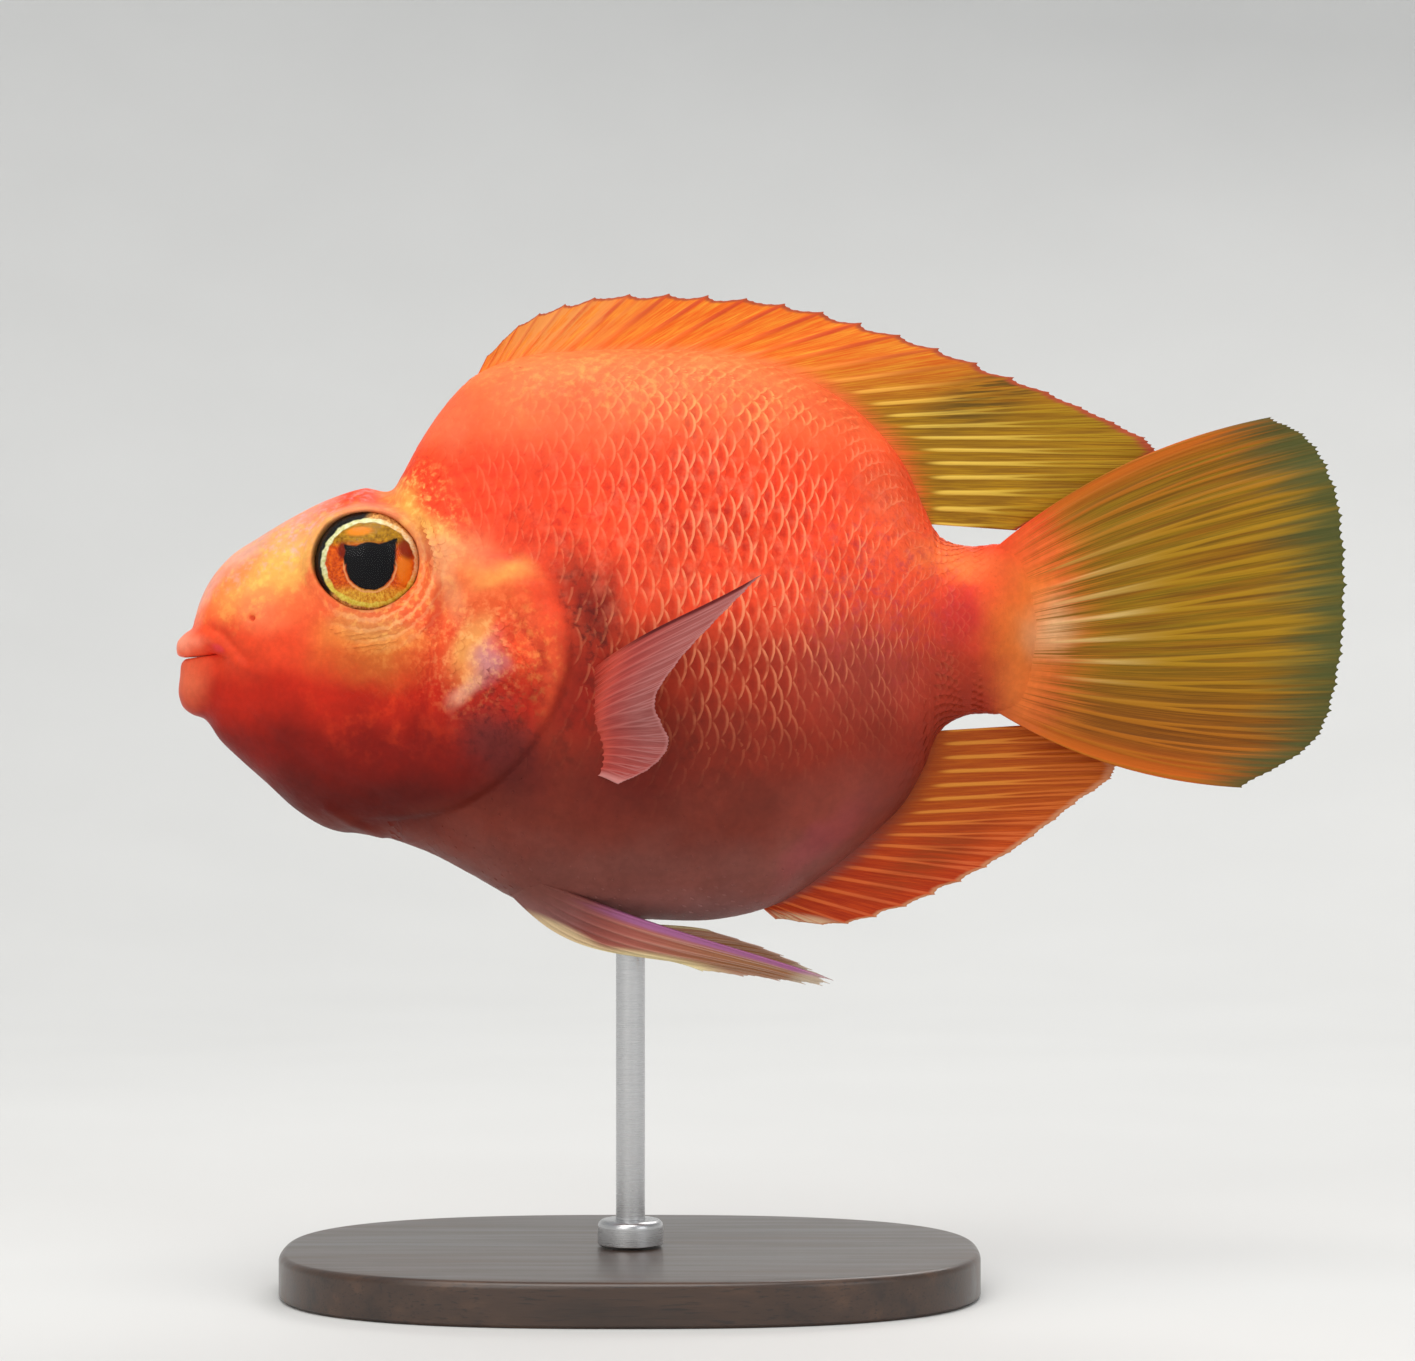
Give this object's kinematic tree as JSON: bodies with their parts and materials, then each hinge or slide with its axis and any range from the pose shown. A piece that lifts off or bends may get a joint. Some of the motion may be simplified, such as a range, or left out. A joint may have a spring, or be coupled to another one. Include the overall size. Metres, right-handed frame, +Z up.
{
  "type": "fish",
  "caption": "Deep-bodied orange-red hybrid cichlid with a small beaked mouth, swept-back fins and a fanned tail, still and level on a plain display stand.",
  "frame": {"origin": "on the floor under the middle of the whole model's length and the base's middle line", "axes": "+X from the snout to the tail, +Y to the fish's right side, +Z up"},
  "size_m": [0.1609, 0.066, 0.1372],
  "materials": {
    "skin": "wet fish skin, orange-red with scales",
    "fin": "thin fin membrane with rays, amber to orange",
    "eye": "clear wet cornea over an orange iris and a black pupil",
    "base": "black stained, satin",
    "steel": "satin"
  },
  "bodies": {
    "root": {"head": "skin", "lower_jaw": "skin", "gill_cover_left": "skin", "gill_cover_right": "skin", "trunk": "skin", "tail_stem": "skin", "eye_left": "eye", "eye_right": "eye", "dorsal_fin": "fin", "tail_fin": "fin", "anal_fin": "fin", "pectoral_fin_left": "fin", "pectoral_fin_right": "fin", "pelvic_fin_left": "fin", "pelvic_fin_right": "fin", "stand_base": "base", "stand_collar": "steel", "stand_rod": "steel"}
  },
  "joints": []
}
